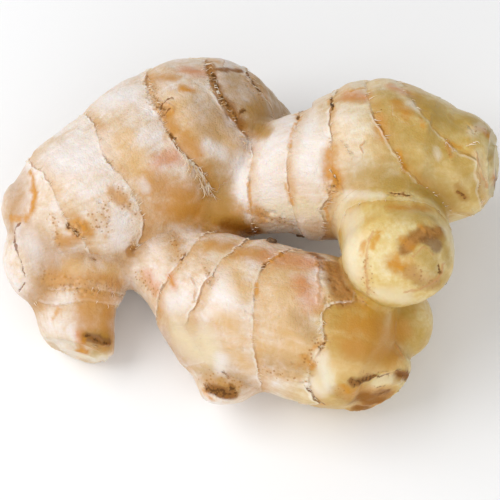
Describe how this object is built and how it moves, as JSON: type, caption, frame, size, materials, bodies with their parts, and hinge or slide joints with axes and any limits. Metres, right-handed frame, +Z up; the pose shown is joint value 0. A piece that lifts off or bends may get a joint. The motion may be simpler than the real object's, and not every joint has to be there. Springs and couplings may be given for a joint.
{
  "type": "ginger root",
  "caption": "Hand of fresh ginger: a branching rhizome of fat fingers, knobs and buds, with ringed tan skin, lying flat on a surface.",
  "frame": {"origin": "bottom centre of the part's box, on the surface that it lies on", "axes": "+X along the hand from its budded end to the tip of the upper finger, +Y across the hand towards the back of its bend, +Z up from the surface"},
  "size_m": [0.1302, 0.0958, 0.0512],
  "materials": {
    "skin": "thin waxy tan skin, satin, with papery ring scars"
  },
  "bodies": {
    "root": {"rhizome": "skin"}
  },
  "joints": []
}
